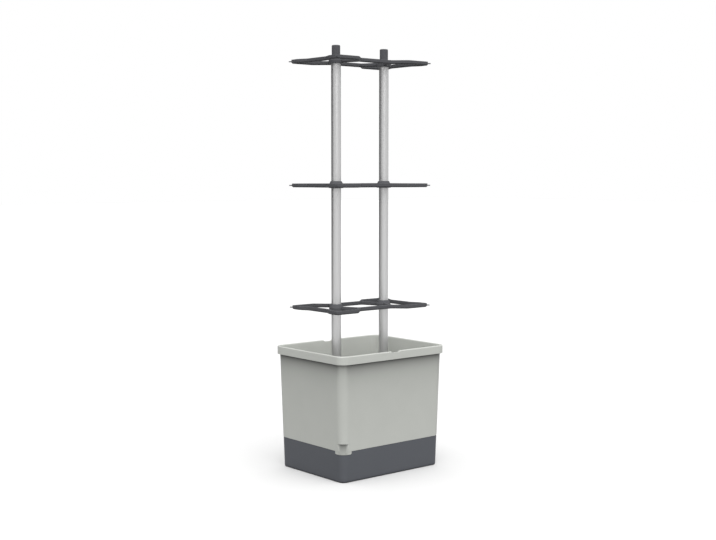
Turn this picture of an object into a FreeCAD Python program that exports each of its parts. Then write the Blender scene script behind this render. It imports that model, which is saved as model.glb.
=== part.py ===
import FreeCAD, Part
import math
import os
import re

import Sketcher
from FreeCAD import Vector

# Driving dimensions in millimetres: name, value, what it measures
SIZES = [
    ("seam_height", 89.7, "seam between reservoir and pot above the ground"),
    ("seam_length", 374, "outside length at the seam"),
    ("seam_width", 291.6, "outside width at the seam"),
    ("seam_radius", 22, "corner radius at the seam"),
    ("pot_top", 361.2, "top of the rim above the ground"),
    ("wall_flare", 9.5, "pot wall, outwards from the seam to the rim's top"),
    ("rim_overhang", 3.7, "rim band, out from the wall at its top"),
    ("rim_height", 24, "rim band, height"),
    ("rim_radius", 27, "rim band, corner radius"),
    ("rim_edge", 2, "rounding of the rim's top edges"),
    ("pot_wall", 3, "pot wall thickness"),
    ("pot_floor", 3, "pot floor thickness"),
    ("nest_depth", 18.5, "how far the pot reaches down into the reservoir"),
    ("nest_fit", 1.3, "gap between the pot's foot and the reservoir wall"),
    ("notch_width", 36, "rim notch, width at its top"),
    ("notch_foot", 26, "rim notch, width at its bottom"),
    ("notch_depth", 5, "rim notch, depth"),
    ("drain_diameter", 8, "drain hole in the pot floor"),
    ("drain_x", 145, "drain hole from the middle, along the length"),
    ("drain_y", 100, "drain hole from the middle, across the width"),
    ("scoop_height", 22, "scoop's ledge above the seam"),
    ("scoop_depth", 7, "scoop's depth under its ledge"),
    ("scoop_wall", 3.5, "wall behind the scoop"),
    ("scoop_skin", 0.4, "foot's skin outside the wall behind the scoop"),
    ("lip_reach", 11, "lip along each side, past the round corner"),
    ("lip_drop", 8.5, "lip below the seam"),
    ("lip_round", 4, "rounding of the lip's lower ends"),
    ("lip_fit", 0.8, "gap between the lip and its notch in the reservoir"),
    ("base_step", 0.5, "reservoir's top edge, inwards from the pot wall"),
    ("base_inset", 3, "reservoir wall, inwards from the seam to the ground"),
    ("base_wall", 3, "reservoir wall thickness"),
    ("base_floor", 3, "reservoir floor thickness"),
    ("base_round", 5, "rounding of the reservoir's bottom edge"),
    ("cup_offset", 82, "wicking cup from the middle, across the width"),
    ("cup_top", 60, "wicking cup, outside diameter at the pot floor"),
    ("cup_bottom", 50, "wicking cup, outside diameter at its floor"),
    ("cup_flange", 70, "wicking cup, flange diameter"),
    ("cup_wall", 2.5, "wicking cup, wall, floor and flange thickness"),
    ("cup_gap", 8, "wicking cup's floor above the reservoir's floor"),
    ("cup_fit", 0.6, "gap between a wicking cup and its hole"),
    ("cup_slot_width", 4, "water slot, width"),
    ("cup_slot_height", 30, "water slot, height"),
    ("cup_slots", 8, "water slots round a wicking cup"),
    ("tube_spacing", 182, "between the axes of the two tubes"),
    ("tube_diameter", 28, "tube, outside diameter"),
    ("tube_wall", 1.5, "tube wall thickness"),
    ("tube_fit", 0.3, "gap round a tube in its socket and round a spigot in its tube"),
    ("boss_wall", 4, "wall of the tube sockets in the pot"),
    ("boss_height", 60, "tube socket above the pot floor"),
    ("rib_height", 42, "ribs of the tube socket above the pot floor"),
    ("rib_reach", 22, "ribs of the tube socket, out from its wall"),
    ("rib_thickness", 2.5, "ribs of the tube socket, thickness"),
    ("first_tier", 477.2, "middle of the lowest ring above the ground"),
    ("tier_pitch", 356.2, "from one ring to the next"),
    ("frame_length", 350, "ring, outside length over its corners"),
    ("frame_width", 216, "ring, outside width over its corners"),
    ("waist_length", 324, "ring, outside length at the middle of the short sides"),
    ("waist_width", 146, "ring, outside width at the middle of the long sides"),
    ("waist_run", 60, "long waist, from the middle to its bend"),
    ("corner_run", 96, "corner's long side, from the middle to its bend"),
    ("short_waist_run", 44, "short waist, from the middle to its bend"),
    ("short_corner_run", 72, "corner's short side, from the middle to its bend"),
    ("bend_radius", 12, "bends of the ring, to the middle of the bar"),
    ("corner_radius", 6, "corners of the ring, to the middle of the bar"),
    ("bar_width", 11, "ring bar, width"),
    ("bar_height", 11, "ring bar, height"),
    ("bar_chamfer", 3, "ring bar, chamfer of its lower edges"),
    ("arm_width", 12.5, "hub arm, width along the length"),
    ("nub_length", 8, "twine nub, out from the ring's corner"),
    ("nub_width", 6, "twine nub, width at its root"),
    ("nub_thickness", 3, "twine nub, thickness"),
    ("collar_below", 7.5, "hub collar, below the middle of the bar"),
    ("collar_above", 12.5, "hub collar, above the middle of the bar"),
    ("collar_shoulder", 2, "hub collar, foot of its cone above the middle of the bar"),
    ("collar_bottom", 42, "hub collar, diameter below its cone"),
    ("collar_top", 32.5, "hub collar, diameter at its upper edge"),
    ("collar_round", 1.5, "rounding of the collar's upper edge"),
    ("socket_depth", 15.5, "hub socket, depth"),
    ("spigot_length", 32, "spigot above the collar"),
    ("spigot_wall", 2.5, "spigot wall thickness"),
    ("spigot_round", 3, "rounding of the spigot's top edge"),
]

ALIASES = re.compile(r"\b(" + "|".join(name for name, number, note in SIZES) + r")\b")

# Heights and places that several pieces share, worked out from the sizes
FLOOR_UNDER = "(seam_height - nest_depth)"
FLOOR_TOP = "(seam_height - nest_depth + pot_floor)"
FOOT_INSET = "(base_step + base_wall + nest_fit)"
CORNER_X = "(seam_length / 2 - seam_radius)"
CORNER_Y = "(seam_width / 2 - seam_radius)"
TUBE_X = "(tube_spacing / 2)"
SOCKET_RADIUS = "(tube_diameter / 2 + tube_fit)"
SPIGOT_RADIUS = "(tube_diameter / 2 - tube_wall - tube_fit)"
BOSS_RADIUS = "(tube_diameter / 2 + tube_fit + boss_wall)"
WAIST_Y = "(waist_width / 2 - bar_width / 2)"
LIP_BOTTOM = "(seam_height - lip_drop)"
LIP_END_X = f"(-{CORNER_X} + lip_reach)"
LIP_END_Y = f"(-{CORNER_Y} + lip_reach)"

# The scoop faces straight out of the corner at the left end of the front, in degrees from +X
SCOOP_BEARING = 225

doc = FreeCAD.newDocument("seedling_pot")
sheet = doc.addObject("Spreadsheet::Sheet", "Sizes")
for row, (name, number, note) in enumerate(SIZES, start=1):
    sheet.set(f"A{row}", note)
    sheet.set(f"B{row}", str(number))
    sheet.setAlias(f"B{row}", name)
doc.recompute()


def bound(text):
    """Turn a formula in size names into an expression on the spreadsheet's cells."""
    return ALIASES.sub(r"Sizes.\1", text)


def value(text):
    return float(sheet.evalExpression(bound(text)))


def origin_plane(body, role):
    return next(feature for feature in body.Origin.OriginFeatures if feature.Role == role)


def new_body(label, x="0", y="0", z="0"):
    body = doc.addObject("PartDesign::Body", label)
    body.Label = label
    for axis, place in (("x", x), ("y", y), ("z", z)):
        body.setExpression("Placement.Base." + axis, bound(place))
    return body


def new_sketch(body, name, plane="XY_Plane", x="0", y="0", z="0", turn=None):
    """Start a sketch on one of the body's own planes, moved in that plane's axes and turned."""
    sketch = body.newObject("Sketcher::SketchObject", name)
    sketch.AttachmentSupport = [(origin_plane(body, plane), "")]
    sketch.MapMode = "FlatFace"
    if turn:
        sketch.AttachmentOffset = FreeCAD.Placement(Vector(0, 0, 0), turn)
    for axis, place in (("x", x), ("y", y), ("z", z)):
        sketch.setExpression("AttachmentOffset.Base." + axis, bound(place))
    return sketch


def dimension(sketch, constraint, text):
    """Add a dimension and bind it to a formula in size names."""
    index = sketch.addConstraint(constraint)
    name = f"size_{index}"
    sketch.renameConstraint(index, name)
    sketch.setExpression("Constraints." + name, bound(text))


def locate(sketch, geometry, point, x, y):
    dimension(sketch, Sketcher.Constraint("DistanceX", geometry, point, value(x)), x)
    dimension(sketch, Sketcher.Constraint("DistanceY", geometry, point, value(y)), y)


def draw_path(sketch, corners, closed=True):
    """Draw straight runs through the corners (x, y, radius), with an arc where a radius is given."""
    points = [Vector(value(x), value(y), 0) for x, y, radius in corners]
    radii = [value(radius) if radius else 0 for x, y, radius in corners]
    count = len(points)
    runs = [(i, (i + 1) % count) for i in range(count if closed else count - 1)]
    heads = [(points[b] - points[a]).normalize() for a, b in runs]
    turns = [0.0] * count
    for i in range(count):
        if radii[i]:
            before, after = heads[i - 1], heads[i]
            turns[i] = math.atan2(before.x * after.y - before.y * after.x, before.dot(after))
    trims = [radii[i] * abs(math.tan(turns[i] / 2)) for i in range(count)]
    lines = []
    for (a, b), head in zip(runs, heads):
        segment = Part.LineSegment(points[a] + head * trims[a], points[b] - head * trims[b])
        lines.append(sketch.addGeometry(segment, False))
    for i, (x, y, radius) in enumerate(corners):
        if not closed and i in (0, count - 1):
            end = (lines[0], 1) if i == 0 else (lines[-1], 2)
            locate(sketch, *end, x, y)
        elif not radius:
            sketch.addConstraint(Sketcher.Constraint("Coincident", lines[i - 1], 2, lines[i], 1))
            locate(sketch, lines[i], 1, x, y)
        else:
            draw_bend(sketch, lines[i - 1], lines[i], points[i] - heads[i - 1] * trims[i],
                      heads[i - 1], radii[i], turns[i], corners[i])


def draw_bend(sketch, line_in, line_out, start, head, radius, turn, corner):
    """Join two runs with a tangent arc, and hold the corner where their lines cross."""
    side = 1 if turn > 0 else -1
    normal = Vector(-head.y, head.x, 0) * side
    centre = start + normal * radius
    angle = math.atan2(start.y - centre.y, start.x - centre.x)
    first, last = (angle, angle + turn) if side > 0 else (angle + turn, angle)
    circle = Part.Circle(centre, Vector(0, 0, 1), radius)
    arc = sketch.addGeometry(Part.ArcOfCircle(circle, first, last), False)
    arc_in, arc_out = (1, 2) if side > 0 else (2, 1)
    sketch.addConstraint(Sketcher.Constraint("Tangent", line_in, 2, arc, arc_in))
    sketch.addConstraint(Sketcher.Constraint("Tangent", line_out, 1, arc, arc_out))
    dimension(sketch, Sketcher.Constraint("Radius", arc, radius), corner[2])
    crossing = Part.Point(Vector(value(corner[0]), value(corner[1]), 0))
    point = sketch.addGeometry(crossing, True)
    sketch.addConstraint(Sketcher.Constraint("PointOnObject", point, 1, line_in))
    sketch.addConstraint(Sketcher.Constraint("PointOnObject", point, 1, line_out))
    locate(sketch, point, 1, corner[0], corner[1])


def draw_rectangle(sketch, length, width, radius=None):
    """Draw a rectangle round the sketch's origin, with round corners where a radius is given."""
    x, y = f"{length} / 2", f"{width} / 2"
    draw_path(sketch, [(x, y, radius), (f"-{x}", y, radius), (f"-{x}", f"-{y}", radius),
                       (x, f"-{y}", radius)])


def draw_outline(sketch, offset="0"):
    """Draw the planter's outline at the seam, moved outwards by an offset."""
    draw_rectangle(sketch, f"(seam_length + 2 * ({offset}))", f"(seam_width + 2 * ({offset}))",
                   f"seam_radius + {offset}")


def draw_circle(sketch, x, y, radius):
    circle = Part.Circle(Vector(value(x), value(y), 0), Vector(0, 0, 1), value(radius))
    index = sketch.addGeometry(circle, False)
    locate(sketch, index, 3, x, y)
    dimension(sketch, Sketcher.Constraint("Radius", index, value(radius)), radius)


def draw_segment(sketch, radius, chord):
    """Draw what lies beyond a chord of a disc round the sketch's origin, with the chord across x."""
    reach, depth = value(radius), value(chord)
    half = math.acos(depth / reach)
    circle = Part.Circle(Vector(0, 0, 0), Vector(0, 0, 1), reach)
    arc = sketch.addGeometry(Part.ArcOfCircle(circle, -half, half), False)
    ends = [Vector(depth, side * reach * math.sin(half), 0) for side in (-1, 1)]
    line = sketch.addGeometry(Part.LineSegment(*ends), False)
    locate(sketch, arc, 3, "0", "0")
    dimension(sketch, Sketcher.Constraint("Radius", arc, reach), radius)
    for end in (1, 2):
        sketch.addConstraint(Sketcher.Constraint("Coincident", line, end, arc, end))
        dimension(sketch, Sketcher.Constraint("DistanceX", arc, end, depth), chord)


def pad(body, name, sketch, length, midplane=False):
    feature = body.newObject("PartDesign::Pad", name)
    feature.Profile = sketch
    feature.SideType = "Symmetric" if midplane else "One side"
    feature.setExpression("Length", bound(length))
    return feature


def pocket(body, name, sketch, length, upward=False):
    """Cut a sketch downwards, against its plane's normal, or upwards."""
    feature = body.newObject("PartDesign::Pocket", name)
    feature.Profile = sketch
    feature.Reversed = upward
    feature.setExpression("Length", bound(length))
    return feature


def through_cut(body, name, sketch):
    """Cut a sketch through everything on both sides of its plane."""
    feature = body.newObject("PartDesign::Pocket", name)
    feature.Profile = sketch
    feature.SideType = "Symmetric"
    feature.Type = "ThroughAll"
    return feature


def loft(body, name, outlines, kind="AdditiveLoft"):
    """Join outlines with straight faces, from the lowest up."""
    feature = body.newObject("PartDesign::" + kind, name)
    feature.Profile = outlines[0]
    feature.Sections = outlines[1:]
    feature.Ruled = True
    return feature


def revolve(body, name, sketch):
    feature = body.newObject("PartDesign::Revolution", name)
    feature.Profile = sketch
    feature.ReferenceAxis = (sketch, ["V_Axis"])
    feature.Angle = 360
    return feature


def sweep(body, name, profile, path):
    """Run a bar section along a level path."""
    feature = body.newObject("PartDesign::AdditivePipe", name)
    feature.Profile = profile
    feature.Spine = path
    feature.Mode = "Standard"
    return feature


def mirror(body, name, originals, *planes):
    """Copy features across one plane, or across two in turn."""
    if len(planes) == 1:
        feature = body.newObject("PartDesign::Mirrored", name)
        feature.MirrorPlane = (origin_plane(body, planes[0]), [""])
    else:
        feature = body.newObject("PartDesign::MultiTransform", name)
        steps = []
        for number, plane in enumerate(planes, start=1):
            step = doc.addObject("PartDesign::Mirrored", f"{name}_{number}")
            step.MirrorPlane = (origin_plane(body, plane), [""])
            steps.append(step)
        feature.Transformations = steps
    feature.Originals = originals
    body.Tip = feature
    return feature


def round_edges(body, name, radius, chosen):
    """Round the edges of the body so far that the test picks."""
    doc.recompute()
    base = body.Tip
    picked = [f"Edge{i}" for i, edge in enumerate(base.Shape.Edges, start=1) if chosen(edge)]
    if not picked:
        raise RuntimeError(f"{name}: no edge to round")
    feature = body.newObject("PartDesign::Fillet", name)
    feature.Base = (base, picked)
    feature.setExpression("Radius", bound(radius))
    return feature


def level_edge(height):
    """Make a test for edges that lie level at a height."""
    def test(edge):
        box = edge.BoundBox
        return abs(box.ZMin - height) < 0.01 and abs(box.ZMax - height) < 0.01
    return test


def lip_end_edge(fit):
    """Make a test for the lower edges at the ends of the lip, or of its notch when a fit is given."""
    at_bottom = level_edge(value(f"{LIP_BOTTOM} - {fit}"))
    end_x, end_y = value(f"{LIP_END_X} + {fit}"), value(f"{LIP_END_Y} + {fit}")

    def test(edge):
        middle = edge.BoundBox.Center
        return at_bottom(edge) and (abs(middle.x - end_x) < 0.01 or abs(middle.y - end_y) < 0.01)
    return test


def make_reservoir_base():
    body = new_body("reservoir_base")
    outlines = []
    thirty_degrees = "base_round * (1 - sqrt(3) / 2)"
    for name, height, inset in (("Ground", "0", "base_inset + base_round"),
                                ("EdgeLow", thirty_degrees, "base_inset + base_round / 2"),
                                ("EdgeHigh", "base_round / 2", f"base_inset + {thirty_degrees}"),
                                ("EdgeTop", "base_round", "base_inset"),
                                ("Seam", "seam_height", "0")):
        outlines.append(new_sketch(body, name + "Outline", z=height))
        draw_outline(outlines[-1], f"-base_step - ({inset})")
    loft(body, "Tray", outlines)
    inner_floor = new_sketch(body, "InnerFloor", z="base_floor")
    draw_outline(inner_floor, "-base_step - base_inset - base_wall")
    inner_seam = new_sketch(body, "InnerSeam", z="seam_height")
    draw_outline(inner_seam, "-base_step - base_wall")
    loft(body, "WaterSpace", [inner_floor, inner_seam], "SubtractiveLoft")
    notch = new_sketch(body, "LipNotchOutline", z="seam_height")
    outer_x, outer_y = "-seam_length / 2 - lip_reach", "-seam_width / 2 - lip_reach"
    inner_x, inner_y = f"{LIP_END_X} + lip_fit", f"{LIP_END_Y} + lip_fit"
    draw_path(notch, [(outer_x, outer_y, None), (inner_x, outer_y, None), (inner_x, inner_y, None),
                      (outer_x, inner_y, None)])
    pocket(body, "LipNotch", notch, "lip_drop + lip_fit")
    round_edges(body, "LipNotchEnds", "lip_round + lip_fit", lip_end_edge("lip_fit"))
    return body


def make_planter_body():
    body = new_body("planter_body")
    make_pot_shell(body)
    make_tube_sockets(body)
    make_floor_holes(body)
    make_corner_scoop(body)
    return body


def make_pot_shell(body):
    """Drafted wall, rim band, and the foot that nests in the reservoir."""
    seam = new_sketch(body, "SeamOutline", z="seam_height")
    draw_outline(seam)
    top = new_sketch(body, "TopOutline", z="pot_top")
    draw_outline(top, "wall_flare")
    loft(body, "Wall", [seam, top])
    rim = new_sketch(body, "RimOutline", z="pot_top - rim_height")
    draw_rectangle(rim, "(seam_length + 2 * (wall_flare + rim_overhang))",
                   "(seam_width + 2 * (wall_flare + rim_overhang))", "rim_radius")
    pad(body, "RimBand", rim, "rim_height")
    nest = new_sketch(body, "NestOutline", z=FLOOR_UNDER)
    draw_outline(nest, f"-{FOOT_INSET}")
    pad(body, "NestingFoot", nest, "nest_depth")
    inner_floor = new_sketch(body, "InnerFloor", z=FLOOR_TOP)
    draw_outline(inner_floor, f"-{FOOT_INSET} - pot_wall")
    inner_top = new_sketch(body, "InnerTop", z="pot_top")
    draw_outline(inner_top, "wall_flare - pot_wall")
    loft(body, "SoilSpace", [inner_floor, inner_top], "SubtractiveLoft")
    round_edges(body, "RimEdges", "rim_edge", level_edge(value("pot_top")))
    notch = new_sketch(body, "RimNotchOutline", "XZ_Plane", y="pot_top")
    foot, mouth = "notch_foot / 2", "notch_width / 2"
    draw_path(notch, [(f"-{foot}", "-notch_depth", None), (foot, "-notch_depth", None), (mouth, "0", None),
                      (mouth, "notch_depth", None), (f"-{mouth}", "notch_depth", None),
                      (f"-{mouth}", "0", None)])
    through_cut(body, "RimNotches", notch)


def make_tube_sockets(body):
    """Two ribbed sockets that stand on the pot floor and hold the lower tubes."""
    boss = new_sketch(body, "SocketBossOutline", z=FLOOR_UNDER)
    for side in ("", "-"):
        draw_circle(boss, side + TUBE_X, "0", BOSS_RADIUS)
    pad(body, "SocketBosses", boss, "pot_floor + boss_height")
    ribs = []
    for plane, name in (("XZ_Plane", "LengthRib"), ("YZ_Plane", "WidthRib")):
        shift = {"x": TUBE_X} if plane == "XZ_Plane" else {"z": TUBE_X}
        outline = new_sketch(body, name + "Outline", plane, y=FLOOR_UNDER, **shift)
        foot = f"{BOSS_RADIUS} + rib_reach"
        draw_path(outline, [(foot, "0", None), (foot, "pot_floor", None),
                            (BOSS_RADIUS, "pot_floor + rib_height", None),
                            ("-" + BOSS_RADIUS, "pot_floor + rib_height", None),
                            (f"-({foot})", "pot_floor", None), (f"-({foot})", "0", None)])
        ribs.append(pad(body, name, outline, "rib_thickness", midplane=True))
    mirror(body, "OtherRibs", ribs, "YZ_Plane")
    bore = new_sketch(body, "SocketBoreOutline", z=f"{FLOOR_TOP} + boss_height")
    for side in ("", "-"):
        draw_circle(bore, side + TUBE_X, "0", SOCKET_RADIUS)
    pocket(body, "SocketBores", bore, "boss_height")


def make_floor_holes(body):
    """Two round seats for the wicking cups, and four drain holes."""
    seats = new_sketch(body, "CupSeatOutline", z=FLOOR_TOP)
    for side in ("", "-"):
        draw_circle(seats, "0", side + "cup_offset", "cup_top / 2 + cup_fit")
    pocket(body, "CupSeats", seats, "pot_floor")
    drain = new_sketch(body, "DrainOutline", z=FLOOR_TOP)
    draw_circle(drain, "drain_x", "drain_y", "drain_diameter / 2")
    hole = pocket(body, "DrainHole", drain, "pot_floor")
    mirror(body, "DrainHoles", [hole], "YZ_Plane", "XZ_Plane")


def make_corner_scoop(body):
    """Scoop under a flat ledge at one corner, with a lip that hangs over the reservoir."""
    back = "(seam_radius - scoop_depth)"
    web = new_sketch(body, "ScoopWebOutline", x=f"-{CORNER_X}", y=f"-{CORNER_Y}", z=FLOOR_UNDER,
                     turn=FreeCAD.Rotation(Vector(0, 0, 1), SCOOP_BEARING))
    draw_segment(web, f"(seam_radius - {FOOT_INSET} - scoop_skin)", f"({back} - scoop_wall)")
    pad(body, "ScoopWeb", web, "nest_depth + scoop_height + pot_wall")
    make_lip(body)
    cut = new_sketch(body, "ScoopOutline", "XZ_Plane", x=f"-{CORNER_X}", z=CORNER_Y,
                     turn=FreeCAD.Rotation(Vector(0, 1, 0), SCOOP_BEARING))
    ledge = "seam_height + scoop_height"
    outside = "seam_radius + wall_flare + scoop_depth"
    draw_path(cut, [(back, ledge, None), (outside, ledge, None), (outside, LIP_BOTTOM, None),
                    ("seam_radius", LIP_BOTTOM, None)])
    scoop = body.newObject("PartDesign::Pocket", "Scoop")
    scoop.Profile = cut
    scoop.SideType = "Symmetric"
    scoop.setExpression("Length", bound("2 * seam_radius + 2 * lip_reach"))


def make_lip(body):
    """Lip round the corner, flush with the wall, with round lower ends."""
    lip = new_sketch(body, "LipOutline", z=LIP_BOTTOM)
    thick = f"({FOOT_INSET} + pot_wall / 2)"
    draw_path(lip, [
        ("-seam_length / 2", LIP_END_Y, None),
        ("-seam_length / 2", "-seam_width / 2", "seam_radius"),
        (LIP_END_X, "-seam_width / 2", None),
        (LIP_END_X, f"-seam_width / 2 + {thick}", None),
        (f"-seam_length / 2 + {thick}", f"-seam_width / 2 + {thick}", f"seam_radius - {thick}"),
        (f"-seam_length / 2 + {thick}", LIP_END_Y, None)])
    pad(body, "Lip", lip, "lip_drop")
    round_edges(body, "LipEnds", "lip_round", lip_end_edge("0"))


def make_wicking_cup(label, side):
    """Slotted cup that hangs in the pot floor and stands just clear of the reservoir's floor."""
    body = new_body(label, y=side + "cup_offset")
    outline = new_sketch(body, "CupOutline", "XZ_Plane")
    bottom = "base_floor + cup_gap"
    draw_path(outline, [("0", bottom, None), ("cup_bottom / 2", bottom, None),
                        ("cup_top / 2", FLOOR_TOP, None), ("cup_flange / 2", FLOOR_TOP, None),
                        ("cup_flange / 2", f"{FLOOR_TOP} + cup_wall", None),
                        ("cup_top / 2 - cup_wall", f"{FLOOR_TOP} + cup_wall", None),
                        ("cup_bottom / 2 - cup_wall", f"{bottom} + cup_wall", None),
                        ("0", f"{bottom} + cup_wall", None)])
    revolve(body, "Cup", outline)
    slot = new_sketch(body, "SlotOutline", "XZ_Plane", y=f"{bottom} + 2 * cup_wall + cup_slot_height / 2")
    draw_rectangle(slot, "cup_slot_width", "cup_slot_height")
    first = pocket(body, "Slot", slot, "cup_top")
    pattern = body.newObject("PartDesign::PolarPattern", "Slots")
    pattern.Originals = [first]
    pattern.Axis = (next(f for f in body.Origin.OriginFeatures if f.Role == "Z_Axis"), [""])
    pattern.Angle = 360
    pattern.setExpression("Occurrences", bound("cup_slots"))
    body.Tip = pattern
    return body


def make_tube(label, side, foot, head):
    """Round tube that stands on one seat and carries the next."""
    body = new_body(label, x=side + TUBE_X, z=foot)
    outline = new_sketch(body, "TubeOutline")
    draw_circle(outline, "0", "0", "tube_diameter / 2")
    draw_circle(outline, "0", "0", "tube_diameter / 2 - tube_wall")
    pad(body, "Tube", outline, f"({head}) - ({foot})")
    return body


def draw_bar_section(sketch, centre, width):
    """Bar section with both lower edges chamfered, round a centre on the sketch's level axis."""
    half, deep = f"{width} / 2", "bar_height / 2"
    draw_path(sketch, [(f"{centre} - {half}", deep, None),
                       (f"{centre} - {half}", f"-{deep} + bar_chamfer", None),
                       (f"{centre} - {half} + bar_chamfer", f"-{deep}", None),
                       (f"{centre} + {half} - bar_chamfer", f"-{deep}", None),
                       (f"{centre} + {half}", f"-{deep} + bar_chamfer", None),
                       (f"{centre} + {half}", deep, None)])


def make_frame(label, height):
    """Waisted climbing ring with a collar, socket and spigot for each tube."""
    body = new_body(label, z=height)
    features = [make_ring_quarter(body), make_arm(body), make_nub(body)]
    mirror(body, "WholeRing", features, "YZ_Plane", "XZ_Plane")
    hub = new_sketch(body, "HubOutline", "XZ_Plane", x=TUBE_X)
    tip = "collar_above + spigot_length"
    draw_path(hub, [("0", "-collar_below", None), ("collar_bottom / 2", "-collar_below", None),
                    ("collar_bottom / 2", "collar_shoulder", None),
                    ("collar_top / 2", "collar_above", "collar_round"),
                    (SPIGOT_RADIUS, "collar_above", None), (SPIGOT_RADIUS, tip, "spigot_round"),
                    ("0", tip, None)])
    mirror(body, "Hubs", [revolve(body, "Hub", hub)], "YZ_Plane")
    socket = new_sketch(body, "SocketOutline", z="-collar_below")
    hollow = new_sketch(body, "SpigotHollowOutline", z="-collar_below + socket_depth")
    for side in ("", "-"):
        draw_circle(socket, side + TUBE_X, "0", SOCKET_RADIUS)
        draw_circle(hollow, side + TUBE_X, "0", f"{SPIGOT_RADIUS} - spigot_wall")
    pocket(body, "Sockets", socket, "socket_depth", upward=True)
    pocket(body, "SpigotHollows", hollow,
           "collar_below - socket_depth + collar_above + spigot_length - spigot_wall", upward=True)
    return body


def make_ring_quarter(body):
    """A quarter of the ring, from the middle of a long side to the middle of a short one."""
    half_bar = "bar_width / 2"
    corner_x, corner_y = f"frame_length / 2 - {half_bar}", f"frame_width / 2 - {half_bar}"
    waist_x = f"waist_length / 2 - {half_bar}"
    path = new_sketch(body, "RingPath")
    draw_path(path, [("0", WAIST_Y, None), ("waist_run", WAIST_Y, "bend_radius"),
                     ("corner_run", corner_y, "bend_radius"), (corner_x, corner_y, "corner_radius"),
                     (corner_x, "short_corner_run", "bend_radius"),
                     (waist_x, "short_waist_run", "bend_radius"), (waist_x, "0", None)], closed=False)
    section = new_sketch(body, "RingSection", "YZ_Plane")
    draw_bar_section(section, WAIST_Y, "bar_width")
    return sweep(body, "RingQuarter", section, path)


def make_arm(body):
    """Arm from a hub to the bend of the long waist."""
    path = new_sketch(body, "ArmPath")
    draw_path(path, [(TUBE_X, "0", None), ("waist_run", WAIST_Y, None)], closed=False)
    section = new_sketch(body, "ArmSection", "XZ_Plane")
    draw_bar_section(section, TUBE_X, "arm_width")
    return sweep(body, "Arm", section, path)


def make_nub(body):
    """Small pointed nub on the ring's corner, to hold twine."""
    slope = "sqrt(2) / 2"
    round_out = "(corner_radius + bar_width / 2)"
    centre_x, centre_y = f"frame_length / 2 - {round_out}", f"frame_width / 2 - {round_out}"
    root = f"(corner_radius * {slope})"
    wide = f"(nub_width / 2 * {slope})"
    tip = f"({round_out} + nub_length) * {slope}"
    outline = new_sketch(body, "NubOutline")
    draw_path(outline, [(f"{centre_x} + {root} - {wide}", f"{centre_y} + {root} + {wide}", None),
                        (f"{centre_x} + {root} + {wide}", f"{centre_y} + {root} - {wide}", None),
                        (f"{centre_x} + {tip}", f"{centre_y} + {tip}", None)])
    return pad(body, "Nub", outline, "nub_thickness", midplane=True)


def make_tower():
    """Three storeys, each a pair of tubes with a ring on top."""
    pieces = []
    foot = FLOOR_TOP
    for tier, storey in enumerate(("lower", "middle", "upper")):
        height = f"first_tier + {tier} * tier_pitch"
        head = f"{height} - collar_below + socket_depth"
        for hand, side in (("left", "-"), ("right", "")):
            pieces.append(make_tube(f"{storey}_tube_{hand}", side, foot, head))
        pieces.append(make_frame(f"{storey}_frame", height))
        foot = f"{height} + collar_above"
    return pieces


def check_and_write(pieces):
    doc.recompute()
    for item in doc.Objects:
        if "Invalid" in item.State or "Error" in item.State:
            raise RuntimeError(f"{item.Name} failed: {item.State}")
    for piece in pieces:
        if piece.Shape.isNull() or not piece.Shape.isValid() or len(piece.Shape.Solids) != 1:
            raise RuntimeError(f"{piece.Label} has no single valid solid")
    os.makedirs("parts", exist_ok=True)
    for piece in pieces:
        piece.Shape.exportStep(f"parts/{piece.Label}.step")


check_and_write([
    make_reservoir_base(),
    make_planter_body(),
    make_wicking_cup("wicking_cup_front", "-"),
    make_wicking_cup("wicking_cup_rear", ""),
    *make_tower(),
])
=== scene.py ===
import math

import bmesh
import bpy
from bpy.props import FloatProperty, FloatVectorProperty, PointerProperty
from mathutils import Euler, Matrix, Vector


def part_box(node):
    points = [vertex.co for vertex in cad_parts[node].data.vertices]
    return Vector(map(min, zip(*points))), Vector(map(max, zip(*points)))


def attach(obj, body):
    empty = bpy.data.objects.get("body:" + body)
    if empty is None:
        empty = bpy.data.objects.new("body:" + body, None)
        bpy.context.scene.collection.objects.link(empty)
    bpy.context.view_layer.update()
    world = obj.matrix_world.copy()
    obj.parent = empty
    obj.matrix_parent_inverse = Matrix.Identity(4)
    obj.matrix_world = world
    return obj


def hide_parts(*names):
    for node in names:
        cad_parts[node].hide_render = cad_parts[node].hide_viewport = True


bl_info = {
    "name": "Seedling Pot",
    "version": (1, 0, 0),
    "blender": (4, 5, 0),
    "location": "3D View > Sidebar > Seedling Pot",
    "description": "Dresses a self-watering seedling pot and its climbing tower",
    "category": "Mesh",
}

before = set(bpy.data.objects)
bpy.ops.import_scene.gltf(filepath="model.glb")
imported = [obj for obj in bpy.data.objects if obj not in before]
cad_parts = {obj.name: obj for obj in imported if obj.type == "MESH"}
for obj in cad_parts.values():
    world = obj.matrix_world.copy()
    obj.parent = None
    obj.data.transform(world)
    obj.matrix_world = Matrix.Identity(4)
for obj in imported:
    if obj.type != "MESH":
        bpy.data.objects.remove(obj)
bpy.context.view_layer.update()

# What the pieces must keep to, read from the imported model, in metres
BASE_LOW, BASE_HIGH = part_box("reservoir_base")
POT_LOW, POT_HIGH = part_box("planter_body")
SEAM = BASE_HIGH.z
POT_TOP = POT_HIGH.z
STOREYS = ("lower", "middle", "upper")
HANDS = ("left", "right")
CUP_SIDES = ("front", "rear")
TUBE_LOW, TUBE_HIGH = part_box("lower_tube_right")
TUBE_X = (TUBE_LOW.x + TUBE_HIGH.x) / 2
TUBE_RADIUS = (TUBE_HIGH.x - TUBE_LOW.x) / 2

# Directions: along the sides, up, and out of and across the pot's front corner
AXIS_X, AXIS_Y, AXIS_Z = range(3)
UPWARDS = Vector((0, 0, 1))
OUTWARDS = Vector((-math.sqrt(0.5), -math.sqrt(0.5), 0))
ACROSS = Vector((-math.sqrt(0.5), math.sqrt(0.5), 0))

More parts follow.
